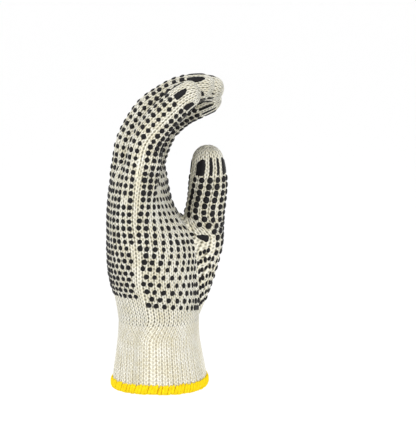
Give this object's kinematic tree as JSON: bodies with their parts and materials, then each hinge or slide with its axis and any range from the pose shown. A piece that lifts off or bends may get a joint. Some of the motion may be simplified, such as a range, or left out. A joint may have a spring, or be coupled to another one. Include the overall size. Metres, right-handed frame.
{
  "type": "pvc dotted knit glove",
  "caption": "Right-hand seamless knitted work glove held in a C grip, with rubbery grip dots on palm and back, a ribbed cuff and an overlocked wrist edge.",
  "frame": {"origin": "centre of the wrist opening, in the plane of the hem's lower edge", "axes": "+Z from the wrist to the fingers, +X towards the palm side that the fingers curl to, +Y towards the thumb and index finger's side"},
  "size_m": [0.0796, 0.0879, 0.2168],
  "materials": {
    "knit": "unbleached cotton and polyester string knit, matt",
    "rib": "ribbed knit with an elastic yarn, matt",
    "hem": "yellow overlock thread, matt and slightly fluffy",
    "dots": "black soft PVC print, satin"
  },
  "bodies": {
    "root": {"hand_body": "knit", "little_finger": "knit", "ring_finger": "knit", "middle_finger": "knit", "index_finger": "knit", "thumb": "knit", "rib_cuff": "rib", "overlock_hem": "hem"}
  },
  "joints": []
}
